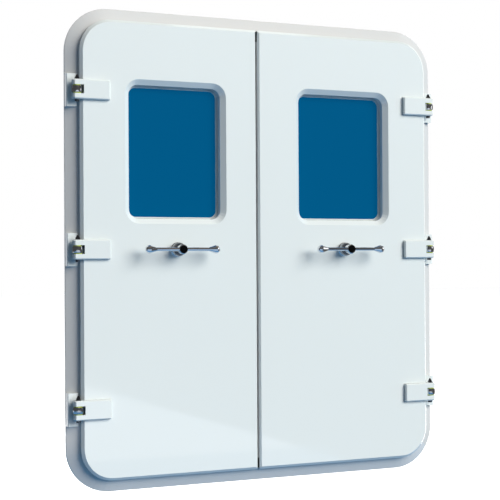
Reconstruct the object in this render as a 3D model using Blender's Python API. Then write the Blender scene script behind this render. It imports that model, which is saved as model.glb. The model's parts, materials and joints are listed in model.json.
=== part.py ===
"""Two-leaf weathertight marine door: a flanged coaming frame, two rebated leaves with windows,
fork-and-eye hinges and a two-armed lever handle on each leaf.

+X is to the right seen from outside, +Y goes into the wall and +Z is up. The origin is on the
flange's back face, in the middle of its sill.
"""

import math

import bmesh
import bpy
from mathutils import Vector

# Frame: a flange with a sloped skirt, and a sleeve that goes through the wall
SKIRT = 0.054
FLANGE_LIP = 0.010
LIP_CHAMFER = 0.002
FLANGE_DEPTH = 0.037
SLEEVE_WALL = 0.008
SLEEVE_REACH = 0.090

# Leaf pair
PAIR_WIDTH = 1.727
PAIR_HEIGHT = 1.990
PAIR_RADIUS = 0.143
LEAF_OVERLAP = 0.045
LEAF_EDGE = 0.026
LEAF_CHAMFER = 0.012
MEETING_CHAMFER = 0.0075
CORE_STEP = 0.046
CORE_CLEARANCE = 0.007
CORE_SETBACK = 0.004
SEAL_GAP = 0.005
LEFT_MEETING_X = -0.0364
RIGHT_MEETING_X = -0.0262
MEETING_RADIUS = 0.003

# Seals
SEAL_WIDTH = 0.014
SEAL_INSET = 0.012
STRIP_WIDTH = 0.0034
STRIP_SETBACK = 0.010
STRIP_DEPTH = 0.030

# Windows
LEFT_WINDOW_WIDTH = 0.478
RIGHT_WINDOW_WIDTH = 0.492
WINDOW_HEIGHT = 0.630
WINDOW_RADIUS = 0.065
WINDOW_ABOVE_CENTRE = 0.4268
LEFT_WINDOW_SHIFT = 0.0258
RIGHT_WINDOW_SHIFT = 0.0080
TAPER_INSET = 0.0225
TAPER_DEPTH = 0.020
WALL_INSET = 0.024
LIP_INSET = 0.028
LIP_DEPTH = 0.044
GLASS_DEPTH = 0.053
GLASS_THICKNESS = 0.009
REBATE_WIDTH = 0.012
TRIM_BORDER = 0.020
TRIM_THICKNESS = 0.008
TRIM_CHAMFER = 0.002

# Hinges
HINGE_SPACING = 0.6845
PIN_OUTSIDE_LEAF = 0.0152
ARM_HEIGHT = 0.084
ARM_ON_LEAF = 0.1295
ARM_THICKNESS = 0.0185
ARM_ROUND = 0.0235
ARM_BEVEL = 0.0045
FORK_SLOT = 0.0375
FORK_CLEARANCE = 0.0047
EYE_RADIUS = 0.0215
EYE_NECK = 0.018
BUSH_FLANGE = 0.004
BUSH_FLANGE_RADIUS = 0.0180
BUSH_WALL = 0.0018
PIN_RADIUS = 0.008
PIN_FIT = 0.0003
PIN_RUNNING = 0.0006
PIN_HEAD_RADIUS = 0.011
PIN_HEAD_HEIGHT = 0.020
PIN_RIM_HEIGHT = 0.003
PIN_WAIST_HEIGHT = 0.009
PIN_WAIST_RADIUS = 0.0088
PIN_TIP_RADIUS = 0.003
PIN_NUT_RADIUS = 0.0095
PIN_NUT_HEIGHT = 0.010
PAD_HEIGHT = 0.142
PAD_PROUD = 0.0015
PAD_BEVEL = 0.003
PAD_EDGE = 0.001
PAD_CLEARANCE = 0.006

# Handles
LEVER_BALL_SPACING = 0.3114
LEVER_BALL_RADIUS = 0.0192
LEVER_ROD_RADIUS = 0.0082
LEVER_TAPER = 0.034
BALL_TAPER_ANGLE = 118
BALL_TIP_ANGLE = 8
LEVER_STANDOFF = 0.0700
HUB_BASE_RADIUS = 0.0265
HUB_BASE_REACH = 0.034
HUB_RADIUS = 0.0215
HUB_SHOULDER = 0.046
HUB_REACH = 0.0785
HUB_CHAMFER = 0.003
CAP_RADIUS = 0.0175
CAP_THICKNESS = 0.0055
CAP_CHAMFER = 0.001
BOSS_RADIUS = 0.0315
BOSS_THICKNESS = 0.012
BOSS_EDGE = 0.005
BOSS_CHAMFER = 0.003
SPINDLE_RADIUS = 0.009
SPINDLE_CLEARANCE = 0.001

# Gap between pieces that touch, and the overrun of a cutter past a face
GAP = 0.0003
OVERRUN = 0.002

# Angles past which an edge is shaded as sharp, and past which an arm's edge is bevelled
SHARP_ANGLE = 32
BEVEL_ANGLE = 80

# Straight sides that stand for a quarter of a round corner, or for a full turn
CORNER_SEGMENTS = 12
WINDOW_SEGMENTS = 6
SHARP_SEGMENTS = 2
ROUND_SEGMENTS = 20
PIN_SEGMENTS = 16
ARC_SEGMENTS = 8
BALL_SEGMENTS = 6

# Depths along Y, from the flange's back face
LAND_Y = -FLANGE_DEPTH
LEAF_BACK_Y = LAND_Y - SEAL_GAP
LEAF_FRONT_Y = LEAF_BACK_Y - LEAF_EDGE
CORE_BACK_Y = LEAF_BACK_Y + CORE_STEP

# Heights: the origin is in the middle of the flange's sill
FLANGE_WIDTH = SKIRT + LEAF_OVERLAP - SLEEVE_WALL - GAP
RIM_HALF_WIDTH = PAIR_WIDTH / 2 + SKIRT
RIM_HALF_HEIGHT = PAIR_HEIGHT / 2 + SKIRT
RIM_RADIUS = PAIR_RADIUS + SKIRT
CENTRE_Z = RIM_HALF_HEIGHT - FLANGE_WIDTH / 2
HINGE_X = PAIR_WIDTH / 2 + PIN_OUTSIDE_LEAF
PAD_FRONT_Y = LAND_Y - PAD_PROUD

SIDES = ("left", "right")
LEVELS = (("bottom", -HINGE_SPACING), ("middle", 0.0), ("top", HINGE_SPACING))
OUTWARD = -1
INWARD = 1


def clear_scene():
    for obj in list(bpy.data.objects):
        bpy.data.objects.remove(obj)


def make_material(name, colour, roughness, metallic):
    material = bpy.data.materials.new(name)
    material.use_nodes = True
    shader = material.node_tree.nodes["Principled BSDF"]
    shader.inputs["Base Color"].default_value = (*colour, 1.0)
    shader.inputs["Roughness"].default_value = roughness
    shader.inputs["Metallic"].default_value = metallic
    return material


def make_materials():
    return {
        "white_paint": make_material("white_paint", (0.80, 0.83, 0.84), 0.25, 0.0),
        "window_glass": make_material("window_glass", (0.01, 0.10, 0.25), 0.08, 0.0),
        "polished_steel": make_material("polished_steel", (0.62, 0.63, 0.65), 0.18, 1.0),
        "dark_steel": make_material("dark_steel", (0.12, 0.12, 0.13), 0.35, 1.0),
        "chrome": make_material("chrome", (0.80, 0.81, 0.83), 0.06, 1.0),
        "brass": make_material("brass", (0.72, 0.62, 0.22), 0.25, 1.0),
        "black_plastic": make_material("black_plastic", (0.01, 0.01, 0.01), 0.35, 0.0),
        "seal_rubber": make_material("seal_rubber", (0.02, 0.02, 0.02), 0.70, 0.0),
    }


def make_empty(name, place, parent=None):
    """An empty at a world place, which carries the pieces of one moving body."""
    empty = bpy.data.objects.new(name, None)
    bpy.context.collection.objects.link(empty)
    empty.parent = parent
    above = world_place(parent) if parent else Vector()
    empty.location = Vector(place) - above
    return empty


def world_place(obj):
    place = Vector()
    while obj:
        place += obj.location
        obj = obj.parent
    return place


def finish(name, mesh_builder, material, parent, place=(0, 0, 0), turn=(0, 0, 0)):
    """An object from a bmesh, with outward normals, seated at a world place under its parent."""
    bmesh.ops.recalc_face_normals(mesh_builder, faces=mesh_builder.faces)
    mesh = bpy.data.meshes.new(name)
    mesh_builder.to_mesh(mesh)
    mesh_builder.free()
    mesh.shade_smooth()
    mesh.set_sharp_from_angle(angle=math.radians(SHARP_ANGLE))
    mesh.materials.append(material)
    obj = bpy.data.objects.new(name, mesh)
    bpy.context.collection.objects.link(obj)
    obj.parent = parent
    obj.location = Vector(place) - world_place(parent)
    obj.rotation_euler = turn
    return obj


def as_helper(obj):
    """Hides a cutter or a joined shape, which only a Boolean reads."""
    obj.hide_render = True
    obj.display_type = "WIRE"
    return obj


def combine(obj, helper, operation):
    modifier = obj.modifiers.new(f"{operation.lower()} {helper.name}", "BOOLEAN")
    modifier.operation = operation
    modifier.solver = "EXACT"
    modifier.object = as_helper(helper)
    return obj


def rounded_outline(low, high, radii, segments):
    """(x, z) points round a rectangle, from its lower left corner, with one radius and one count of
    sides for each corner in the order lower left, lower right, upper right, upper left."""
    corners = ((low[0], low[1]), (high[0], low[1]), (high[0], high[1]), (low[0], high[1]))
    inward = ((1, 1), (-1, 1), (-1, -1), (1, -1))
    points = []
    for number, (corner, sign, radius) in enumerate(zip(corners, inward, radii)):
        centre = (corner[0] + sign[0] * radius, corner[1] + sign[1] * radius)
        start = 180 + 90 * number
        points += arc(centre, radius, start, start + 90, segments[number])
    return points


def at_depth(outline, y):
    return [(x, y, z) for x, z in outline]


def skin(builder, rows, closed):
    """Joins rings of equal point counts with faces, and caps the ends unless the rings close."""
    rings = [[builder.verts.new(point) for point in row] for row in rows]
    pairs = list(zip(rings, rings[1:]))
    if closed:
        pairs.append((rings[-1], rings[0]))
    for first, second in pairs:
        for index in range(len(first)):
            after = (index + 1) % len(first)
            builder.faces.new((first[index], first[after], second[after], second[index]))
    if not closed:
        builder.faces.new(rings[0])
        builder.faces.new(list(reversed(rings[-1])))
    return builder


def lofted(rows):
    return skin(bmesh.new(), rows, closed=False)


def ring_lofted(rows):
    return skin(bmesh.new(), rows, closed=True)


def extruded(outline, low, high):
    """An (x, z) outline carried from one depth to another along Y."""
    return lofted([at_depth(outline, low), at_depth(outline, high)])


def raised(outline, low, high):
    """An (x, y) outline carried from one height to another along Z."""
    return lofted([[(x, y, low) for x, y in outline], [(x, y, high) for x, y in outline]])


def box(low, high):
    outline = ((low[0], low[1]), (high[0], low[1]), (high[0], high[1]), (low[0], high[1]))
    return raised(outline, low[2], high[2])


def turned(profile, segments, hollow=False):
    """A profile of (radius, height) pairs turned about Z. A hollow one is a closed loop."""
    rows = []
    for radius, height in profile:
        angles = [2 * math.pi * step / segments for step in range(segments)]
        rows.append([(radius * math.cos(a), radius * math.sin(a), height) for a in angles])
    return ring_lofted(rows) if hollow else lofted(rows)


def arc(centre, radius, start, end, steps):
    """Points on an arc, both ends included, with angles in degrees."""
    points = []
    for step in range(steps + 1):
        angle = math.radians(start + (end - start) * step / steps)
        points.append((centre[0] + radius * math.cos(angle), centre[1] + radius * math.sin(angle)))
    return points


def rim_ring(inset, y):
    """The frame's outer outline, moved inwards."""
    low = (-RIM_HALF_WIDTH + inset, CENTRE_Z - RIM_HALF_HEIGHT + inset)
    high = (RIM_HALF_WIDTH - inset, CENTRE_Z + RIM_HALF_HEIGHT - inset)
    radii = [RIM_RADIUS - inset] * 4
    return at_depth(rounded_outline(low, high, radii, [CORNER_SEGMENTS] * 4), y)


def skirt_y(outside_leaf):
    """The depth of the skirt's sloped face at a distance outside the leaf's edge."""
    share = outside_leaf / (SKIRT - LIP_CHAMFER)
    return LAND_Y + share * (FLANGE_DEPTH - FLANGE_LIP)


def make_frame(material, root):
    flange_inner = FLANGE_WIDTH
    section = (
        (0.0, 0.0),
        (0.0, -FLANGE_LIP + LIP_CHAMFER),
        (LIP_CHAMFER, -FLANGE_LIP),
        (SKIRT, LAND_Y),
        (flange_inner, LAND_Y),
        (flange_inner, 0.0),
    )
    finish("frame_flange", ring_lofted([rim_ring(i, y) for i, y in section]), material, root)
    outer = FLANGE_WIDTH + GAP
    inner = outer + SLEEVE_WALL
    section = ((outer, LAND_Y), (inner, LAND_Y), (inner, SLEEVE_REACH), (outer, SLEEVE_REACH))
    finish("coaming_sleeve", ring_lofted([rim_ring(i, y) for i, y in section]), material, root)


def leaf_edges(side):
    """(x of the hinge edge, x of the meeting edge)."""
    if side == "left":
        return -PAIR_WIDTH / 2, LEFT_MEETING_X
    return PAIR_WIDTH / 2, RIGHT_MEETING_X


def window_x(side):
    """A little from the leaf's middle towards the meeting edge."""
    middle = sum(leaf_edges(side)) / 2
    return middle + LEFT_WINDOW_SHIFT if side == "left" else middle - RIGHT_WINDOW_SHIFT


def leaf_ring(side, hinge_inset, meeting_inset, y):
    """A leaf's outline with round corners on its hinge side, moved inwards."""
    half = PAIR_HEIGHT / 2 - hinge_inset
    big = PAIR_RADIUS - hinge_inset
    small = MEETING_RADIUS
    if side == "left":
        low = (-PAIR_WIDTH / 2 + hinge_inset, CENTRE_Z - half)
        high = (LEFT_MEETING_X - meeting_inset, CENTRE_Z + half)
        radii = (big, small, small, big)
        segments = (CORNER_SEGMENTS, SHARP_SEGMENTS, SHARP_SEGMENTS, CORNER_SEGMENTS)
    else:
        low = (RIGHT_MEETING_X + meeting_inset, CENTRE_Z - half)
        high = (PAIR_WIDTH / 2 - hinge_inset, CENTRE_Z + half)
        radii = (small, big, big, small)
        segments = (SHARP_SEGMENTS, CORNER_SEGMENTS, CORNER_SEGMENTS, SHARP_SEGMENTS)
    return at_depth(rounded_outline(low, high, radii, segments), y)


def window_ring(side, inset, y):
    """The window opening's outline at the leaf's front face, moved inwards."""
    centre = window_x(side)
    middle = CENTRE_Z + WINDOW_ABOVE_CENTRE
    across = (LEFT_WINDOW_WIDTH if side == "left" else RIGHT_WINDOW_WIDTH) / 2 - inset
    upwards = WINDOW_HEIGHT / 2 - inset
    low = (centre - across, middle - upwards)
    high = (centre + across, middle + upwards)
    radii = [WINDOW_RADIUS - inset] * 4
    return at_depth(rounded_outline(low, high, radii, [WINDOW_SEGMENTS] * 4), y)


def window_cutter(side, material, hinge):
    front = LEAF_FRONT_Y
    section = (
        (0.0, -OVERRUN),
        (0.0, 0.0),
        (TAPER_INSET, TAPER_DEPTH),
        (WALL_INSET, LIP_DEPTH),
        (LIP_INSET, LIP_DEPTH),
        (LIP_INSET, GLASS_DEPTH),
        (LIP_INSET - REBATE_WIDTH, GLASS_DEPTH),
        (LIP_INSET - REBATE_WIDTH, LEAF_EDGE + CORE_STEP + OVERRUN),
    )
    rows = [window_ring(side, inset, front + depth) for inset, depth in section]
    return finish(f"{side}_window_cutter", lofted(rows), material, hinge)


def eye_notch(side, level, height, material, hinge):
    """Room in the leaf's edge for a hinge eye."""
    towards_centre = 1 if side == "left" else -1
    axis_x = -towards_centre * HINGE_X
    root = axis_x + towards_centre * (EYE_RADIUS + FORK_CLEARANCE)
    outside = axis_x - towards_centre * EYE_RADIUS
    low = (min(root, outside), LEAF_FRONT_Y - OVERRUN, CENTRE_Z + height - FORK_SLOT / 2)
    high = (max(root, outside), LEAF_BACK_Y + OVERRUN, CENTRE_Z + height + FORK_SLOT / 2)
    return finish(f"{side}_{level}_notch", box(low, high), material, hinge)


def make_leaf(side, materials, hinge):
    remainder = LEAF_CHAMFER - MEETING_CHAMFER
    rows = [
        leaf_ring(side, LEAF_CHAMFER, MEETING_CHAMFER, LEAF_FRONT_Y),
        leaf_ring(side, remainder, 0.0, LEAF_FRONT_Y + MEETING_CHAMFER),
        leaf_ring(side, 0.0, 0.0, LEAF_FRONT_Y + LEAF_CHAMFER),
        leaf_ring(side, 0.0, 0.0, LEAF_BACK_Y),
        leaf_ring(side, LEAF_OVERLAP + CORE_CLEARANCE, CORE_SETBACK, LEAF_BACK_Y),
        leaf_ring(side, LEAF_OVERLAP + CORE_CLEARANCE, CORE_SETBACK, CORE_BACK_Y),
    ]
    white = materials["white_paint"]
    leaf = finish(f"{side}_leaf_panel", lofted(rows), white, hinge)
    combine(leaf, window_cutter(side, white, hinge), "DIFFERENCE")
    for level, height in LEVELS:
        combine(leaf, eye_notch(side, level, height, white, hinge), "DIFFERENCE")
    hole = SPINDLE_RADIUS + SPINDLE_CLEARANCE
    reach = LEAF_EDGE + CORE_STEP + OVERRUN
    drill = turned(((hole, -reach), (hole, OVERRUN)), ROUND_SEGMENTS)
    place = (window_x(side), LEAF_FRONT_Y, CENTRE_Z)
    drilled = finish(f"{side}_spindle_drill", drill, white, hinge, place, (math.pi / 2, 0, 0))
    combine(leaf, drilled, "DIFFERENCE")


def make_window(side, materials, hinge):
    front = LEAF_FRONT_Y
    edge = LIP_INSET - REBATE_WIDTH + GAP
    near = front + GLASS_DEPTH + GAP
    far = near + GLASS_THICKNESS
    pane = lofted([window_ring(side, edge, near), window_ring(side, edge, far)])
    finish(f"{side}_window_glass", pane, materials["window_glass"], hinge)
    face = CORE_BACK_Y + GAP
    back = face + TRIM_THICKNESS
    section = (
        (LIP_INSET, far + GAP),
        (edge, far + GAP),
        (edge, face),
        (-TRIM_BORDER, face),
        (-TRIM_BORDER, back - TRIM_CHAMFER),
        (TRIM_CHAMFER - TRIM_BORDER, back),
        (LIP_INSET - TRIM_CHAMFER, back),
        (LIP_INSET, back - TRIM_CHAMFER),
    )
    rows = [window_ring(side, inset, y) for inset, y in section]
    finish(f"{side}_inner_window_trim", ring_lofted(rows), materials["white_paint"], hinge)


def make_leaf_seal(side, materials, hinge):
    """A rubber strip on the back of the leaf's overlap, along its head, hinge side and sill."""
    meeting = abs(leaf_edges(side)[1]) + CORE_SETBACK
    outline = []
    for inset, backwards in ((SEAL_INSET, False), (SEAL_INSET + SEAL_WIDTH, True)):
        edge = PAIR_WIDTH / 2 - inset
        half = PAIR_HEIGHT / 2 - inset
        radius = PAIR_RADIUS - inset
        run = [(meeting, CENTRE_Z - half)]
        run += arc((edge - radius, CENTRE_Z - half + radius), radius, -90, 0, CORNER_SEGMENTS)
        run += arc((edge - radius, CENTRE_Z + half - radius), radius, 0, 90, CORNER_SEGMENTS)
        run.append((meeting, CENTRE_Z + half))
        outline += reversed(run) if backwards else run
    mirror = -1 if side == "left" else 1
    outline = [(mirror * x, z) for x, z in outline]
    strip = extruded(outline, LEAF_BACK_Y + GAP, LAND_Y - GAP)
    finish(f"{side}_leaf_seal", strip, materials["seal_rubber"], hinge)


def make_meeting_strip(materials, hinge):
    """The strip on the right leaf's edge that closes the gap between the leaves."""
    right = RIGHT_MEETING_X - GAP
    half = PAIR_HEIGHT / 2 - LEAF_OVERLAP - CORE_CLEARANCE
    front = LEAF_FRONT_Y + STRIP_SETBACK
    low = (right - STRIP_WIDTH, front, CENTRE_Z - half)
    high = (right, front + STRIP_DEPTH, CENTRE_Z + half)
    finish("meeting_strip", box(low, high), materials["seal_rubber"], hinge)


def arm_outline(side):
    """An arm seen from above: a flat bar on the leaf that ends round the pin."""
    leaf_side = PIN_OUTSIDE_LEAF - GAP
    far = PIN_OUTSIDE_LEAF + ARM_ON_LEAF
    front_angle = 180 + math.degrees(math.asin(ARM_THICKNESS / ARM_ROUND))
    back_angle = math.degrees(math.acos(leaf_side / ARM_ROUND))
    outline = [(leaf_side, -GAP), (far, -GAP), (far, -ARM_THICKNESS)]
    outline += arc((0, 0), ARM_ROUND, front_angle, back_angle, ARC_SEGMENTS)
    mirror = 1 if side == "left" else -1
    return [(mirror * x, y) for x, y in outline]


def make_arm(side, level, place, materials, hinge):
    white = materials["white_paint"]
    name = f"{side}_{level}_hinge_arm"
    half = ARM_HEIGHT / 2
    arm = finish(name, raised(arm_outline(side), -half, half), white, hinge, place)
    bevel = arm.modifiers.new("edges", "BEVEL")
    bevel.width = ARM_BEVEL
    bevel.segments = 1
    bevel.limit_method = "ANGLE"
    bevel.angle_limit = math.radians(BEVEL_ANGLE)
    towards_centre = 1 if side == "left" else -1
    root = towards_centre * (EYE_RADIUS + FORK_CLEARANCE)
    outside = -towards_centre * (ARM_ROUND + OVERRUN)
    low = (min(root, outside), -ARM_ROUND - OVERRUN, -FORK_SLOT / 2)
    high = (max(root, outside), ARM_ROUND + OVERRUN, FORK_SLOT / 2)
    combine(arm, finish(f"{name}_slot", box(low, high), white, hinge, place), "DIFFERENCE")
    hole = PIN_RADIUS + PIN_FIT
    drill = turned(((hole, -half - OVERRUN), (hole, half + OVERRUN)), PIN_SEGMENTS)
    combine(arm, finish(f"{name}_drill", drill, white, hinge, place), "DIFFERENCE")


def make_pin(side, level, place, materials, hinge):
    top = ARM_HEIGHT / 2 + GAP
    bottom = -top
    profile = (
        (PIN_NUT_RADIUS, bottom - PIN_NUT_HEIGHT),
        (PIN_NUT_RADIUS, bottom),
        (PIN_RADIUS, bottom),
        (PIN_RADIUS, top),
        (PIN_HEAD_RADIUS, top),
        (PIN_HEAD_RADIUS, top + PIN_RIM_HEIGHT),
        (PIN_WAIST_RADIUS, top + PIN_WAIST_HEIGHT),
        (PIN_TIP_RADIUS, top + PIN_HEAD_HEIGHT),
    )
    name = f"{side}_{level}_hinge_pin"
    finish(name, turned(profile, PIN_SEGMENTS), materials["dark_steel"], hinge, place)


def make_eye(side, level, place, materials, root):
    """A steel eye that stands on the frame's pad, with the pin's bush in its bore."""
    half = FORK_SLOT / 2 - BUSH_FLANGE - 2 * GAP
    bore = PIN_RADIUS + PIN_RUNNING + BUSH_WALL + GAP
    neck = EYE_NECK / 2
    foot = PAD_FRONT_Y - LEAF_FRONT_Y - GAP
    join = math.degrees(math.acos(neck / EYE_RADIUS))
    outline = [(neck, foot), (-neck, foot)]
    outline += arc((0, 0), EYE_RADIUS, 180 - join, 360 + join, ARC_SEGMENTS * 2)
    steel = materials["polished_steel"]
    name = f"{side}_{level}_hinge_eye"
    eye = finish(name, raised(outline, -half, half), steel, root, place)
    drill = turned(((bore, -half - OVERRUN), (bore, half + OVERRUN)), PIN_SEGMENTS)
    combine(eye, finish(f"{name}_drill", drill, steel, root, place), "DIFFERENCE")
    inner = PIN_RADIUS + PIN_RUNNING
    outer = inner + BUSH_WALL
    near = half + GAP
    far = near + BUSH_FLANGE
    profile = (
        (inner, -far),
        (BUSH_FLANGE_RADIUS, -far),
        (BUSH_FLANGE_RADIUS, -near),
        (outer, -near),
        (outer, near),
        (BUSH_FLANGE_RADIUS, near),
        (BUSH_FLANGE_RADIUS, far),
        (inner, far),
    )
    bush = turned(profile, PIN_SEGMENTS, hollow=True)
    finish(f"{side}_{level}_hinge_bush", bush, materials["brass"], root, place)


def make_pad(side, level, place, materials, root):
    """A welded pad on the frame's skirt, with a face square to the wall for the eye."""
    inner = PAD_CLEARANCE
    outer = SKIRT - PAD_EDGE
    front = PAD_FRONT_Y
    outline = [
        (inner, skirt_y(inner) - GAP),
        (inner, front),
        (outer - PAD_BEVEL, front),
        (outer, front + PAD_BEVEL),
        (outer, skirt_y(outer) - GAP - LIP_CHAMFER),
    ]
    mirror = -1 if side == "left" else 1
    edge = mirror * PAIR_WIDTH / 2
    points = [(edge + mirror * x, y) for x, y in outline]
    half = PAD_HEIGHT / 2
    solid = raised(points, place[2] - half, place[2] + half)
    finish(f"{side}_{level}_hinge_pad", solid, materials["white_paint"], root)


def lever_bar():
    """The two-armed bar's profile, from one ball's tip to the other's, as (radius, height)."""
    ball = LEVER_BALL_SPACING / 2
    arm = [(LEVER_ROD_RADIUS, ball - LEVER_TAPER)]
    for along, radius in arc((0, 0), LEVER_BALL_RADIUS, BALL_TAPER_ANGLE, BALL_TIP_ANGLE, BALL_SEGMENTS):
        arm.append((radius, ball + along))
    return [(radius, -height) for radius, height in reversed(arm)] + arm


def make_lever(name, place, facing, spindle, materials, axis):
    """A hub with a two-armed bar through it. The hub's height runs away from the leaf."""
    turn = (math.pi / 2 if facing == OUTWARD else -math.pi / 2, 0, 0)
    base = BOSS_THICKNESS + 2 * GAP
    profile = [(SPINDLE_RADIUS, -spindle)] if spindle else []
    profile += [(SPINDLE_RADIUS, base)] if spindle else []
    profile += [
        (HUB_BASE_RADIUS, base),
        (HUB_BASE_RADIUS, HUB_BASE_REACH),
        (HUB_RADIUS, HUB_SHOULDER),
        (HUB_RADIUS, HUB_REACH - HUB_CHAMFER),
        (HUB_RADIUS - HUB_CHAMFER, HUB_REACH),
    ]
    chrome = materials["chrome"]
    lever = finish(name, turned(profile, ROUND_SEGMENTS), chrome, axis, place, turn)
    bar = turned(lever_bar(), PIN_SEGMENTS)
    bar_place = Vector(place) + Vector((0, facing * LEVER_STANDOFF, 0))
    combine(lever, finish(f"{name}_bar", bar, chrome, axis, bar_place, (0, math.pi / 2, 0)), "UNION")


def make_boss(name, place, facing, materials, hinge):
    turn = (math.pi / 2 if facing == OUTWARD else -math.pi / 2, 0, 0)
    hole = SPINDLE_RADIUS + SPINDLE_CLEARANCE
    profile = (
        (hole, GAP),
        (BOSS_RADIUS, GAP),
        (BOSS_RADIUS, BOSS_EDGE),
        (BOSS_RADIUS - BOSS_CHAMFER, BOSS_EDGE + BOSS_CHAMFER),
        (HUB_BASE_RADIUS, BOSS_EDGE + BOSS_CHAMFER),
        (HUB_BASE_RADIUS, BOSS_THICKNESS),
        (hole, BOSS_THICKNESS),
    )
    finish(name, turned(profile, ROUND_SEGMENTS, hollow=True), materials["chrome"], hinge, place, turn)


def make_cap(name, place, facing, materials, axis):
    turn = (math.pi / 2 if facing == OUTWARD else -math.pi / 2, 0, 0)
    near = HUB_REACH + GAP
    far = HUB_REACH + CAP_THICKNESS
    profile = ((CAP_RADIUS, near), (CAP_RADIUS, far - CAP_CHAMFER), (CAP_RADIUS - CAP_CHAMFER, far))
    finish(name, turned(profile, ROUND_SEGMENTS), materials["black_plastic"], axis, place, turn)


def make_handles(side, materials, hinge):
    outer_place = (window_x(side), LEAF_FRONT_Y, CENTRE_Z)
    inner_place = (window_x(side), CORE_BACK_Y, CENTRE_Z)
    axis = make_empty(f"{side}_handle_axis", outer_place, hinge)
    through = LEAF_EDGE + CORE_STEP + BOSS_THICKNESS + GAP
    make_boss(f"{side}_outer_handle_boss", outer_place, OUTWARD, materials, hinge)
    make_lever(f"{side}_outer_handle", outer_place, OUTWARD, through, materials, axis)
    make_cap(f"{side}_outer_handle_cap", outer_place, OUTWARD, materials, axis)
    make_boss(f"{side}_inner_handle_boss", inner_place, INWARD, materials, hinge)
    make_lever(f"{side}_inner_handle", inner_place, INWARD, 0.0, materials, axis)
    make_cap(f"{side}_inner_handle_cap", inner_place, INWARD, materials, axis)


def main():
    clear_scene()
    materials = make_materials()
    root = make_empty("door_frame", (0, 0, 0))
    make_frame(materials["white_paint"], root)
    for side in SIDES:
        outside = -1 if side == "left" else 1
        hinge = make_empty(f"{side}_leaf_hinge", (outside * HINGE_X, LEAF_FRONT_Y, CENTRE_Z), root)
        make_leaf(side, materials, hinge)
        make_window(side, materials, hinge)
        make_leaf_seal(side, materials, hinge)
        make_handles(side, materials, hinge)
        for level, height in LEVELS:
            place = (outside * HINGE_X, LEAF_FRONT_Y, CENTRE_Z + height)
            make_pad(side, level, place, materials, root)
            make_eye(side, level, place, materials, root)
            make_arm(side, level, place, materials, hinge)
            make_pin(side, level, place, materials, hinge)
        if side == "right":
            make_meeting_strip(materials, hinge)


main()
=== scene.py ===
"""Looks for the two-leaf marine door: camera, light, materials and fine pieces."""

import json
import math

import bmesh
import bpy
from mathutils import Matrix, Vector

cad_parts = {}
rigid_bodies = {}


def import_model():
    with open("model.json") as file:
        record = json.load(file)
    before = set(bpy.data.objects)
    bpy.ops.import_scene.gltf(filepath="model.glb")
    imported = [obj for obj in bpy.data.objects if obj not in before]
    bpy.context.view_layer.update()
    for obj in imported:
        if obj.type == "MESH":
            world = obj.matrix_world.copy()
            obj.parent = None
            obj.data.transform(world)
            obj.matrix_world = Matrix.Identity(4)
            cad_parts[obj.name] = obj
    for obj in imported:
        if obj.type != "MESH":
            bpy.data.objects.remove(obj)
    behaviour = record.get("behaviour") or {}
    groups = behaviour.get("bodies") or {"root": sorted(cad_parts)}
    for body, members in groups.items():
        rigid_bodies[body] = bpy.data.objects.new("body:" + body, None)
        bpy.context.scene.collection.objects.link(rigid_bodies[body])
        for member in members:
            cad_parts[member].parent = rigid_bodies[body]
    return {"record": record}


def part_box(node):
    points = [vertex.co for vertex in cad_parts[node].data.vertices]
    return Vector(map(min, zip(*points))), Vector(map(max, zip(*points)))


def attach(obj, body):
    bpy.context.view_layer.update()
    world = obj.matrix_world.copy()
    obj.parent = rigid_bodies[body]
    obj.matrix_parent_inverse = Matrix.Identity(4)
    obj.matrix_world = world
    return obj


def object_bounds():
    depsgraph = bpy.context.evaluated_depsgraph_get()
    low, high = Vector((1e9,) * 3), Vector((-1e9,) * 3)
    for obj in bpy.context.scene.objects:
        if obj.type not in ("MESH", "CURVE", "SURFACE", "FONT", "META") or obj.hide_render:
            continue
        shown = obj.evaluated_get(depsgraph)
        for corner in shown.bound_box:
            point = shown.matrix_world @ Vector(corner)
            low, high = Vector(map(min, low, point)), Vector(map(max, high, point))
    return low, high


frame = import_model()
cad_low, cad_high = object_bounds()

SIDES = ("left", "right")
LEVELS = ("bottom", "middle", "top")
OUTWARDS = {"left": -1, "right": 1}  # along x, from the middle to a side's hinges

leaf_low, leaf_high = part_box("left_leaf_panel")
LEAF_FRONT_Y = leaf_low.y
LEAF_EDGE_X = -leaf_low.x  # from the middle to a leaf's hinge edge
CENTRE_Z = (leaf_low.z + leaf_high.z) / 2

GAP = 0.0003  # between a fine piece and the solid that it lies on
CORNER_STEPS = 12
WINDOW_RADIUS = 0.065  # of the window opening's corners, at the leaf's front
WINDOW_LIP_DEPTH = 0.044  # from the leaf's front to the flat lip round the pane
PANE_INSET = 0.0163  # of the pane's edge, from the opening at the leaf's front


# Materials


def new_material(name, colour, roughness, metallic=0.0, coat=0.0, specular=0.5):
    made = bpy.data.materials.new(name)
    made.use_nodes = True
    shader = made.node_tree.nodes["Principled BSDF"]
    shader.inputs["Base Color"].default_value = (*colour, 1.0)
    shader.inputs["Roughness"].default_value = roughness
    shader.inputs["Metallic"].default_value = metallic
    shader.inputs["Coat Weight"].default_value = coat
    shader.inputs["Coat IOR"].default_value = 1.7
    shader.inputs["Coat Roughness"].default_value = 0.04
    shader.inputs["Specular IOR Level"].default_value = specular
    return made


def grained(made, scale, strength, distance):
    """Adds a fine relief to a material from noise in object coordinates."""
    nodes = made.node_tree.nodes
    links = made.node_tree.links
    place = nodes.new("ShaderNodeTexCoord")
    noise = nodes.new("ShaderNodeTexNoise")
    noise.inputs["Scale"].default_value = scale
    noise.inputs["Detail"].default_value = 3.0
    bump = nodes.new("ShaderNodeBump")
    bump.inputs["Strength"].default_value = strength
    bump.inputs["Distance"].default_value = distance
    links.new(place.outputs["Object"], noise.inputs["Vector"])
    links.new(noise.outputs["Fac"], bump.inputs["Height"])
    links.new(bump.outputs["Normal"], nodes["Principled BSDF"].inputs["Normal"])
    return made


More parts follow.
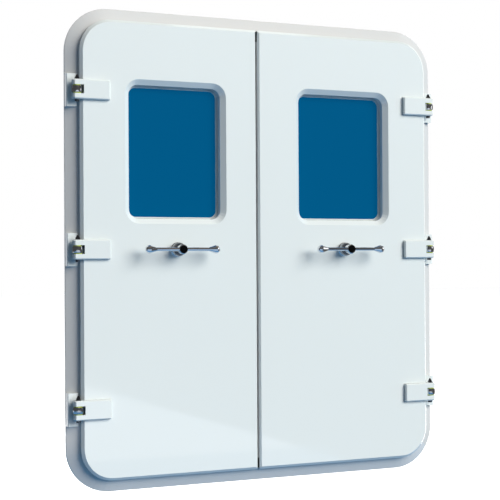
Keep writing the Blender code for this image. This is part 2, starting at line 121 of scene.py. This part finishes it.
def enamel(name, colour):
    """Gloss paint under a clear coat."""
    return grained(new_material(name, colour, 0.28, coat=1.0), 180, 0.05, 0.0004)


def metal(name, colour, roughness, metallic=1.0, grain=300):
    return grained(new_material(name, colour, roughness, metallic), grain, 0.05, 0.0002)


def rubber(name, colour, roughness):
    return grained(new_material(name, colour, roughness), 250, 0.2, 0.0006)


MATERIALS = {
    "white_paint": enamel("white_enamel", (0.765, 0.815, 0.81)),
    "window_glass": new_material("blue_glass_painted_glow", (0.0, 0.030, 0.070), 0.06, specular=0.06),
    "polished_steel": metal("polished_eye", (0.62, 0.63, 0.65), 0.16),
    "dark_steel": metal("dark_pin", (0.12, 0.12, 0.13), 0.35),
    "chrome": new_material("chrome_lever", (0.80, 0.81, 0.83), 0.06, metallic=1.0),
    "brass": metal("machined_brass", (0.56, 0.66, 0.10), 0.25, metallic=0.2, grain=400),
    "black_plastic": grained(
        new_material("black_cap", (0.002, 0.002, 0.002), 0.5, specular=0.05), 400, 0.1, 0.0003
    ),
    "seal_rubber": rubber("black_rubber", (0.02, 0.02, 0.02), 0.7),
}

# The glass glows a weak, even blue. This is painted light, since the pane is no lamp, and it keeps
# the blue even into the shade at the pane's edges
glass = MATERIALS["window_glass"].node_tree.nodes["Principled BSDF"]
glass.inputs["Emission Color"].default_value = (0.0, 0.068, 0.168, 1.0)
glass.inputs["Emission Strength"].default_value = 1.0

GASKET_GREY = rubber("grey_gasket", (0.60, 0.61, 0.61), 0.5)
# The frame wears a darker copy of the leaf's white enamel. This is painted shade for the shade on
# the frame's hollow slope beside the leaf
SHADED_FRAME_ENAMEL = enamel("frame_enamel_painted_shade", (0.68, 0.685, 0.68))
SATIN_STEEL = metal("satin_steel", (0.50, 0.51, 0.52), 0.45)
STRIP_GREY = rubber("grey_strip", (0.28, 0.285, 0.29), 0.6)
OWN_MATERIALS = {"meeting_strip": STRIP_GREY, "frame_flange": SHADED_FRAME_ENAMEL}

for subpart in frame["record"]["subparts"]:
    made = OWN_MATERIALS.get(subpart["node"], MATERIALS[subpart["material_slot"]])
    for slot in bpy.data.objects[subpart["node"]].material_slots:
        slot.material = made


# Building blocks for the fine pieces


def piece(name, builder, body, slot, material=None, smooth_angle=35):
    """Makes an object of a builder's faces, on a body and in a material slot."""
    bmesh.ops.recalc_face_normals(builder, faces=builder.faces)
    mesh = bpy.data.meshes.new(name)
    builder.to_mesh(mesh)
    builder.free()
    mesh.shade_smooth()
    mesh.set_sharp_from_angle(angle=math.radians(smooth_angle))
    mesh.materials.append(material or MATERIALS[slot])
    obj = bpy.data.objects.new(name, mesh)
    bpy.context.collection.objects.link(obj)
    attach(obj, body)


def skin(builder, rows, closed):
    """Joins rings of points with faces, and caps the ends unless the last ring joins the first."""
    rings = [[builder.verts.new(point) for point in row] for row in rows]
    pairs = list(zip(rings, rings[1:]))
    if closed:
        pairs.append((rings[-1], rings[0]))
    for one, other in pairs:
        for index in range(len(one)):
            after = (index + 1) % len(one)
            builder.faces.new((one[index], one[after], other[after], other[index]))
    if not closed:
        builder.faces.new(rings[0])
        builder.faces.new(list(reversed(rings[-1])))
    return builder


def arc(centre, radius, start, end, steps):
    points = []
    for step in range(steps + 1):
        angle = math.radians(start + (end - start) * step / steps)
        points.append((centre[0] + radius * math.cos(angle), centre[1] + radius * math.sin(angle)))
    return points


def rounded(low, high, radius):
    """(x, z) points round a rectangle with round corners."""
    centres = (
        (low[0] + radius, low[1] + radius),
        (high[0] - radius, low[1] + radius),
        (high[0] - radius, high[1] - radius),
        (low[0] + radius, high[1] - radius),
    )
    points = []
    for number, centre in enumerate(centres):
        points += arc(centre, radius, 180 + 90 * number, 270 + 90 * number, CORNER_STEPS)
    return points


def rounded_rows(low, high, radius, section):
    """Rings round a box seen from the front, from (inset, y); the radius shrinks with the inset."""
    rows = []
    for inset, y in section:
        outline = rounded(
            (low.x + inset, low.z + inset), (high.x - inset, high.z - inset), radius - inset
        )
        rows.append([(x, y, z) for x, z in outline])
    return rows


def turned_rows(place, profile, segments, axis):
    """Rings round a vertical ("z") or a front-to-back ("y") axis, from (radius, along)."""
    rows = []
    for radius, along in profile:
        row = []
        for index in range(segments):
            angle = 2 * math.pi * index / segments
            across = radius * math.cos(angle)
            upright = radius * math.sin(angle)
            offset = (across, upright, along) if axis == "z" else (across, along, upright)
            row.append(Vector(place) + Vector(offset))
        rows.append(row)
    return rows


def wire(path, radius, sides):
    """A round wire along a path that lies level."""
    rows = []
    for index, point in enumerate(path):
        before = path[max(index - 1, 0)]
        after = path[min(index + 1, len(path) - 1)]
        along = (Vector(after) - Vector(before)).normalized()
        across = along.cross(Vector((0, 0, 1)))
        row = []
        for step in range(sides):
            angle = 2 * math.pi * step / sides
            offset = across * math.cos(angle) + Vector((0, 0, 1)) * math.sin(angle)
            row.append(Vector(point) + offset * radius)
        rows.append(row)
    return skin(bmesh.new(), rows, closed=False)


def socket_screws(name, places, face, radius, height, body):
    """Round heads with hexagon sockets at (x, z) places on an inner face."""
    corners = 12
    profile = (
        (radius, 0.0),
        (radius, 0.7 * height),
        (0.85 * radius, height),
        (0.50 * radius, height),
        (0.45 * radius, 0.45 * height),
    )
    builder = bmesh.new()
    for x, z in places:
        rows = turned_rows((x, face + GAP, z), profile, corners, axis="y")
        for row in rows[3:]:  # the socket's rings become hexagons
            for index in range(1, corners, 2):
                row[index] = (row[index - 1] + row[(index + 1) % corners]) / 2
        skin(builder, rows, closed=False)
    piece(name, builder, body, "polished_steel", smooth_angle=30)


# Windows


def window_band(name, side, section, slot, material=None):
    """A closed band round a window, from (inset from the opening's front edge, y)."""
    low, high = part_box(f"{side}_window_glass")
    section = [(inset - PANE_INSET, y) for inset, y in section]
    rows = rounded_rows(low, high, WINDOW_RADIUS - PANE_INSET, section)
    piece(name, skin(bmesh.new(), rows, closed=True), f"{side}_leaf", slot, material)


def glazing(side):
    """The gasket on the window's lip and the bead that holds the pane, outside and inside."""
    low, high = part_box(f"{side}_window_glass")
    lip = LEAF_FRONT_Y + WINDOW_LIP_DEPTH
    gasket = (
        (0.0253, lip - GAP),
        (0.0253, lip - 0.0012),
        (0.0260, lip - 0.0018),
        (0.0275, lip - 0.0018),
        (0.0282, lip - 0.0012),
        (0.0284, lip - GAP),
    )
    window_band(f"{side}_window_gasket", side, gasket, "seal_rubber", GASKET_GREY)
    pane = low.y - GAP
    bead = (
        (0.0284, pane),
        (0.0284, pane - 0.0030),
        (0.0290, pane - 0.0042),
        (0.0302, pane - 0.0046),
        (0.0314, pane - 0.0038),
        (0.0320, pane - 0.0020),
        (0.0320, pane),
    )
    window_band(f"{side}_window_bead", side, bead, "white_paint")
    back = high.y + GAP
    inner = (
        (0.0283, back),
        (0.0283, back + 0.0032),
        (0.0290, back + 0.0040),
        (0.0304, back + 0.0036),
        (0.0314, back + 0.0020),
        (0.0318, back),
    )
    window_band(f"{side}_inner_gasket", side, inner, "seal_rubber")


def trim_screws(side):
    """Socket screws round the inner window trim."""
    low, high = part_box(f"{side}_inner_window_trim")
    border = 0.0235
    left, right = low.x + border, high.x - border
    bottom, top = low.z + border, high.z - border
    places = []
    for part in (0.16, 0.5, 0.84):
        upright = bottom + (top - bottom) * part
        places += [(left, upright), (right, upright)]
    for part in (0.28, 0.72):
        across = left + (right - left) * part
        places += [(across, bottom), (across, top)]
    socket_screws(f"{side}_trim_screws", places, high.y, 0.0042, 0.0022, f"{side}_leaf")


# Hinges


def eye_bearing(side, level):
    """The polished, slightly spherical ring round a hinge eye."""
    low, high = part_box(f"{side}_{level}_hinge_eye")
    pin_low, pin_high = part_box(f"{side}_{level}_hinge_pin")
    rim, crown, steps = 0.0006, 0.0019, 12
    axis = (pin_low + pin_high) / 2
    radius = axis.y - low.y
    half = (high.z - low.z) / 2 - 0.0008
    profile = [(radius + GAP, -half)]
    for step in range(steps + 1):
        part = -1 + step / (steps / 2)
        profile.append((radius + rim + crown * (1 - part**2), half * part))
    profile.append((radius + GAP, half))
    place = (axis.x, axis.y, (low.z + high.z) / 2)
    rows = turned_rows(place, profile, 48, axis="z")
    bearing = skin(bmesh.new(), rows, closed=True)
    piece(f"{side}_{level}_eye_bearing", bearing, "frame", "polished_steel")


def pin_washers(side, level):
    """The washers under a hinge pin's head and over its nut."""
    pin_low, pin_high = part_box(f"{side}_{level}_hinge_pin")
    arm_low, arm_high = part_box(f"{side}_{level}_hinge_arm")
    axis = (pin_low + pin_high) / 2
    width, thickness, chamfer = 0.0034, 0.0013, 0.0004
    builder = bmesh.new()
    for start, upwards, inner in ((arm_high.z + GAP, 1, 0.0113), (arm_low.z - GAP, -1, 0.0098)):
        outer = inner + width
        profile = (
            (inner, 0.0),
            (outer, 0.0),
            (outer, upwards * (thickness - chamfer)),
            (outer - chamfer, upwards * thickness),
            (inner, upwards * thickness),
        )
        rows = turned_rows((axis.x, axis.y, start), profile, 40, axis="z")
        skin(builder, rows, closed=True)
    piece(f"{side}_{level}_pin_washers", builder, f"{side}_leaf", "polished_steel")


def split_pin(side, level):
    """The split pin through a hinge pin's nut, with its ring in front and bent legs behind."""
    pin_low, pin_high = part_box(f"{side}_{level}_hinge_pin")
    axis = (pin_low + pin_high) / 2
    height = pin_low.z + 0.0040
    leg = (
        (0.0030, 0.0150),
        (0.0019, 0.0130),
        (0.0010, 0.0108),
        (0.0007, 0.0090),
        (0.0007, -0.0098),
    )
    ring = arc((0.0, -0.0126), 0.0029, 76, -256, 16)
    path = [*leg, *ring, *((-x, y) for x, y in reversed(leg))]
    points = [(axis.x + x, axis.y + y, height) for x, y in path]
    made = wire(points, radius=0.0008, sides=8)
    piece(f"{side}_{level}_split_pin", made, f"{side}_leaf", "polished_steel")


# (distance from the edge that a bead lies against, rise over the face that it lies on)
BEAD = ((GAP, 0.0), (GAP, 0.0020), (0.0007, 0.0010), (0.0010, 0.0007), (0.0020, 0.0))


def arm_bead(side, level):
    """The sealant round a hinge arm's foot on the leaf."""
    low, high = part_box(f"{side}_{level}_hinge_arm")
    outside = OUTWARDS[side]
    end = high.x if side == "left" else low.x
    edge = outside * (LEAF_EDGE_X - 0.0125)
    path = (
        (edge, high.z, 0, 1),
        (end, high.z, -outside, 1),
        (end, low.z, -outside, -1),
        (edge, low.z, 0, -1),
    )
    rows = []
    for x, z, across, upwards in path:
        rows.append(
            [(x + across * d, LEAF_FRONT_Y - GAP - rise, z + upwards * d) for d, rise in BEAD]
        )
    bead = skin(bmesh.new(), rows, closed=False)
    piece(f"{side}_{level}_arm_bead", bead, f"{side}_leaf", "white_paint", smooth_angle=20)


def pad_bead(side, level):
    """The weld beads above and below a hinge pad, on the frame's slope."""
    low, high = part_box(f"{side}_{level}_hinge_pad")
    outside = OUTWARDS[side]
    rim = Vector((outside * (cad_high.x - 0.0045), -0.0112, 0.0))
    foot = Vector((outside * (LEAF_EDGE_X + 0.0070), -0.0334, 0.0))
    along = (foot - rim).normalized()
    normal = Vector((-along.y, along.x, 0.0))
    normal *= -1 if normal.y > 0 else 1
    steps, ripple_height, clearance = 24, 0.12, 0.0004
    builder = bmesh.new()
    for edge, upwards in ((high.z, 1), (low.z, -1)):
        rows = []
        for step in range(steps + 1):
            base = rim.lerp(foot, step / steps)
            ripple = 1.0 + ripple_height * (step % 2)
            row = []
            for d, rise in BEAD:
                lift = normal * (clearance + rise * ripple)
                row.append(base + lift + Vector((0, 0, edge + upwards * d * ripple)))
            rows.append(row)
        skin(builder, rows, closed=False)
    piece(f"{side}_{level}_pad_bead", builder, "frame", "white_paint", smooth_angle=60)


# Levers, lining, meeting strip and sleeve


def hub_rings(name, side, section, slot, material=None):
    """The same ring round the outer and the inner hub, from (radius, distance from the leaf)."""
    panel_low, panel_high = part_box(f"{side}_leaf_panel")
    boss_low, boss_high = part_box(f"{side}_outer_handle_boss")
    hub = (boss_low + boss_high) / 2
    builder = bmesh.new()
    for face, facing in ((panel_low.y, -1), (panel_high.y, 1)):
        profile = [(radius, facing * along) for radius, along in section]
        rows = turned_rows((hub.x, face, hub.z), profile, 40, axis="y")
        skin(builder, rows, closed=True)
    piece(name, builder, f"{side}_handle", slot, material)


def hub_fittings(side):
    """The satin sleeves on the hubs' bases and the dark wiper rings on their shoulders."""
    sleeve = (
        (0.0268, 0.0125),
        (0.0296, 0.0125),
        (0.0300, 0.0130),
        (0.0300, 0.0280),
        (0.0292, 0.0292),
        (0.0268, 0.0296),
    )
    hub_rings(f"{side}_hub_sleeves", side, sleeve, "polished_steel", SATIN_STEEL)
    collar = (
        (0.0268, 0.0300),
        (0.0276, 0.0307),
        (0.0276, 0.0350),
        (0.0264, 0.0385),
        (0.0246, 0.0430),
        (0.0231, 0.0455),
        (0.0219, 0.0463),
        (0.0268, 0.0343),
    )
    hub_rings(f"{side}_hub_collars", side, collar, "dark_steel")


def lining_screws(side):
    """Small screws round the lining on the leaf's inner face."""
    low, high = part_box(f"{side}_leaf_panel")
    border, meeting_border, corner = 0.072, 0.024, 0.10
    hinge_x = low.x + border if side == "left" else high.x - border
    meeting_x = high.x - meeting_border if side == "left" else low.x + meeting_border
    bottom, top = low.z + border, high.z - border
    places = []
    for step in range(7):
        upright = bottom + corner + (top - bottom - 2 * corner) * step / 6
        places += [(hinge_x, upright), (meeting_x, upright)]
    for part in (0.16, 0.54, 0.92):
        across = hinge_x + (meeting_x - hinge_x) * part
        places += [(across, bottom), (across, top)]
    socket_screws(f"{side}_lining_screws", places, high.y, 0.0036, 0.0016, f"{side}_leaf")


def strip_ends():
    """The ribbed black rubber blocks above and below the meeting strip, which are painted shade for
    the deep shadow at the ends of the gap between the leaves, and the strip's lip at the left leaf.
    """
    low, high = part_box("meeting_strip")
    block, ribs = 0.046, 16
    builder = bmesh.new()
    for start, upwards in ((high.z + GAP, 1), (low.z - GAP, -1)):
        rows = []
        for step in range(ribs + 1):
            slim = 0.0004 if step % 2 else 0.0
            if step in (0, ribs):
                slim = 0.0008
            z = start + upwards * block * step / ribs
            rows.append(
                [
                    (low.x + slim, low.y + slim, z),
                    (high.x, low.y + slim, z),
                    (high.x, high.y, z),
                    (low.x + slim, high.y, z),
                ]
            )
        skin(builder, rows, closed=False)
    # black blocks: painted shade at the ends of the gap between the leaves
    piece("right_strip_end_shade_blocks", builder, "right_leaf", "seal_rubber", smooth_angle=30)
    section = (
        (0.0, -0.0032),
        (-0.0010, -0.0026),
        (-0.0026, -0.0010),
        (-0.0038, -0.0002),
        (-0.0040, 0.0004),
        (-0.0036, 0.0008),
        (-0.0020, 0.0008),
        (0.0, 0.0014),
    )
    root = Vector((low.x - GAP, high.y - 0.006, 0.0))
    past_strip = 0.045
    heights = (low.z - past_strip, low.z, (low.z + high.z) / 2, high.z, high.z + past_strip)
    rows = [[(root.x + x, root.y + y, z) for x, y in section] for z in heights]
    lip = skin(bmesh.new(), rows, closed=False)
    piece("right_strip_lip", lip, "right_leaf", "seal_rubber")


def sleeve_edging():
    """The rubber edging on the coaming's rear edge."""
    low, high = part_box("coaming_sleeve")
    wall = 0.008
    radius = 0.106
    back = high.y
    section = (
        (-GAP, back - 0.0120),
        (-0.0018, back - 0.0112),
        (-0.0020, back),
        (-0.0012, back + 0.0019),
        (wall + 0.0012, back + 0.0019),
        (wall + 0.0020, back),
        (wall + 0.0018, back - 0.0112),
        (wall + GAP, back - 0.0120),
        (wall + GAP, back + GAP),
        (-GAP, back + GAP),
    )
    rows = rounded_rows(low, high, radius, section)
    piece("sleeve_edging", skin(bmesh.new(), rows, closed=True), "frame", "seal_rubber")


for side in SIDES:
    glazing(side)
    hub_fittings(side)
    trim_screws(side)
    lining_screws(side)
    for level in LEVELS:
        eye_bearing(side, level)
        pin_washers(side, level)
        split_pin(side, level)
        arm_bead(side, level)
        pad_bead(side, level)
strip_ends()
sleeve_edging()


# Floor: white to the eye and in gloss, blue in the light that it throws back on the door

FLOOR_Z = cad_low.z - 0.6


def seen_rays(tree):
    """A node output that is 1 for camera, glossy and transmission rays, and 0 for the rest."""
    path = tree.nodes.new("ShaderNodeLightPath")
    result = path.outputs["Is Camera Ray"]
    for kind in ("Is Glossy Ray", "Is Transmission Ray"):
        larger = tree.nodes.new("ShaderNodeMath")
        larger.operation = "MAXIMUM"
        tree.links.new(result, larger.inputs[0])
        tree.links.new(path.outputs[kind], larger.inputs[1])
        result = larger.outputs[0]
    return result


floor_mesh = bmesh.new()
bmesh.ops.create_grid(floor_mesh, x_segments=1, y_segments=1, size=60.0)
floor_data = bpy.data.meshes.new("floor")
floor_mesh.to_mesh(floor_data)
floor_mesh.free()
floor = bpy.data.objects.new("floor", floor_data)
bpy.context.collection.objects.link(floor)
floor.location = (0, 0, FLOOR_Z)

pale = new_material("pale_floor", (0.85, 0.85, 0.85), 0.9, specular=0.0)
tree = pale.node_tree
glow = tree.nodes.new("ShaderNodeEmission")
glow.inputs["Color"].default_value = (1.0, 1.0, 1.0, 1.0)
glow.inputs["Strength"].default_value = 0.85
seen = tree.nodes.new("ShaderNodeAddShader")
bounce = tree.nodes.new("ShaderNodeBsdfDiffuse")
bounce.inputs["Color"].default_value = (0.045, 0.17, 0.34, 1.0)
choice = tree.nodes.new("ShaderNodeMixShader")
tree.links.new(tree.nodes["Principled BSDF"].outputs["BSDF"], seen.inputs[0])
tree.links.new(glow.outputs["Emission"], seen.inputs[1])
tree.links.new(seen_rays(tree), choice.inputs["Fac"])
tree.links.new(bounce.outputs["BSDF"], choice.inputs[1])
tree.links.new(seen.outputs["Shader"], choice.inputs[2])
tree.links.new(choice.outputs["Shader"], tree.nodes["Material Output"].inputs["Surface"])
floor_data.materials.append(pale)


# The room that the steel, chrome and clear coat mirror

LEFT_X, RIGHT_X = -6.0, 2.5
FAR_Y = -14.0
PALE_FLOOR_Y, BLUE_FLOOR_Y = -4.6, -2.4  # where the two nearer strips of floor begin
CORNICE_Z, CEILING_Z = 5.5, 9.5
CARD_FLOOR_Z = FLOOR_Z + 0.02


def reflected_card(name, corners, colour):
    """A studio card that only gloss shows: camera, light and shadow pass it by."""
    mesh = bpy.data.meshes.new(name)
    mesh.from_pydata(corners, [], [(0, 1, 2, 3)])
    card = bpy.data.objects.new(name, mesh)
    bpy.context.collection.objects.link(card)
    made = bpy.data.materials.new(name)
    made.use_nodes = True
    nodes = made.node_tree.nodes
    nodes.remove(nodes["Principled BSDF"])
    emission = nodes.new("ShaderNodeEmission")
    emission.inputs["Color"].default_value = (*colour, 1.0)
    surface = nodes["Material Output"].inputs["Surface"]
    made.node_tree.links.new(emission.outputs["Emission"], surface)
    mesh.materials.append(made)
    card.visible_camera = False
    card.visible_diffuse = False
    card.visible_transmission = False
    card.visible_volume_scatter = False
    card.visible_shadow = False


def standing_card(name, start, end, bottom, top, colour):
    """A card that stands between two (x, y) places."""
    corners = [(*start, bottom), (*end, bottom), (*end, top), (*start, top)]
    reflected_card(name, corners, colour)


def level_card(name, front, back, z, colour):
    """A card that lies level across the whole width of the room."""
    corners = [(LEFT_X, front, z), (RIGHT_X, front, z), (RIGHT_X, back, z), (LEFT_X, back, z)]
    reflected_card(name, corners, colour)


side_start, side_end = (RIGHT_X, 0.8), (RIGHT_X, FAR_Y)
left_start, left_end = (LEFT_X, FAR_Y), (LEFT_X, 12.0)
standing_card("side_wall", side_start, side_end, FLOOR_Z, CORNICE_Z, (0.10, 0.10, 0.10))
standing_card("left_wall", left_start, left_end, FLOOR_Z, CEILING_Z, (0.08, 0.08, 0.08))
standing_card("front_wall", left_start, side_end, FLOOR_Z, CEILING_Z, (0.10, 0.10, 0.10))
standing_card("warm_cornice", side_start, side_end, CORNICE_Z, CEILING_Z, (0.22, 0.17, 0.12))
level_card("ceiling", FAR_Y, 2.0, CEILING_Z, (0.16, 0.16, 0.16))
level_card("blue_floor", BLUE_FLOOR_Y, 4.0, CARD_FLOOR_Z, (0.14, 0.32, 0.55))
level_card("pale_blue_floor", PALE_FLOOR_Y, BLUE_FLOOR_Y, CARD_FLOOR_Z, (0.38, 0.52, 0.70))
standing_card("glint", (2.46, -0.8), (2.46, -1.7), 1.25, 2.2, (1.8, 1.8, 1.8))
level_card("far_floor", FAR_Y, PALE_FLOOR_Y, CARD_FLOOR_Z, (0.95, 1.0, 1.1))


# Camera, from the photo's outlines

FOCAL = 1300.0  # in pixels
YAW = math.radians(24.693)
PITCH = math.radians(0.55)
ROLL = math.radians(-0.344)
AIM = Vector((-0.0713, LEAF_FRONT_Y, CENTRE_Z - 0.0028))
DISTANCE = 5.872
SENSOR_WIDTH = 36.0
IMAGE_WIDTH = 500.0

ahead = Vector((math.sin(YAW) * math.cos(PITCH), math.cos(YAW) * math.cos(PITCH), math.sin(PITCH)))
right = Vector((math.cos(YAW), -math.sin(YAW), 0.0))
up = right.cross(ahead)
right, up = (
    right * math.cos(ROLL) + up * math.sin(ROLL),
    up * math.cos(ROLL) - right * math.sin(ROLL),
)
camera_data = bpy.data.cameras.new("camera")
camera_data.sensor_width = SENSOR_WIDTH
camera_data.lens = FOCAL * SENSOR_WIDTH / IMAGE_WIDTH
camera = bpy.data.objects.new("camera", camera_data)
bpy.context.collection.objects.link(camera)
turn = Matrix((right, up, -ahead)).transposed().to_4x4()
camera.matrix_world = Matrix.Translation(AIM - ahead * DISTANCE) @ turn
bpy.context.scene.camera = camera

bpy.context.scene.view_settings.view_transform = "Standard"


# Light

world = bpy.data.worlds.new("studio")
bpy.context.scene.world = world
world.use_nodes = True
nodes = world.node_tree.nodes
links = world.node_tree.links
background = nodes["Background"]
background.inputs["Color"].default_value = (0.84, 0.92, 1.0, 1.0)
background.inputs["Strength"].default_value = 0.085
white = nodes.new("ShaderNodeBackground")
white.inputs["Color"].default_value = (1.0, 1.0, 1.0, 1.0)
white.inputs["Strength"].default_value = 1.0
mix = nodes.new("ShaderNodeMixShader")
links.new(seen_rays(world.node_tree), mix.inputs["Fac"])
links.new(background.outputs["Background"], mix.inputs[1])
links.new(white.outputs["Background"], mix.inputs[2])
links.new(mix.outputs["Shader"], nodes["World Output"].inputs["Surface"])


def soft_light(name, towards, distance, size, level, colour):
    """A square lamp in one direction from the door's middle; at level 1 a face square to it renders
    as bright as its colour is written."""
    data = bpy.data.lights.new(name, "AREA")
    data.shape = "SQUARE"
    data.size = size
    data.energy = level * (math.pi * distance) ** 2
    data.color = colour
    lamp = bpy.data.objects.new(name, data)
    bpy.context.collection.objects.link(lamp)
    direction = Vector(towards).normalized()
    lamp.location = Vector((0.0, LEAF_FRONT_Y, CENTRE_Z)) + direction * distance
    lamp.rotation_euler = direction.to_track_quat("Z", "Y").to_euler()
    lamp.visible_glossy = False


soft_light("key", (0.51, -0.77, 0.45), 60.0, 40.0, 1.41, (1.0, 0.955, 0.90))
soft_light("fill", (0.80, -0.56, 0.12), 30.0, 30.0, 0.36, (0.55, 0.85, 1.0))
soft_light("head", (0.0, -0.25, 0.97), 30.0, 15.0, 0.03, (1.0, 0.76, 0.50))
soft_light("left", (-0.9, -0.3, 0.05), 20.0, 10.0, 0.045, (1.0, 1.0, 1.0))
soft_light("rear", (-0.3, 0.9, 0.35), 8.0, 4.0, 0.55, (1.0, 1.0, 1.0))
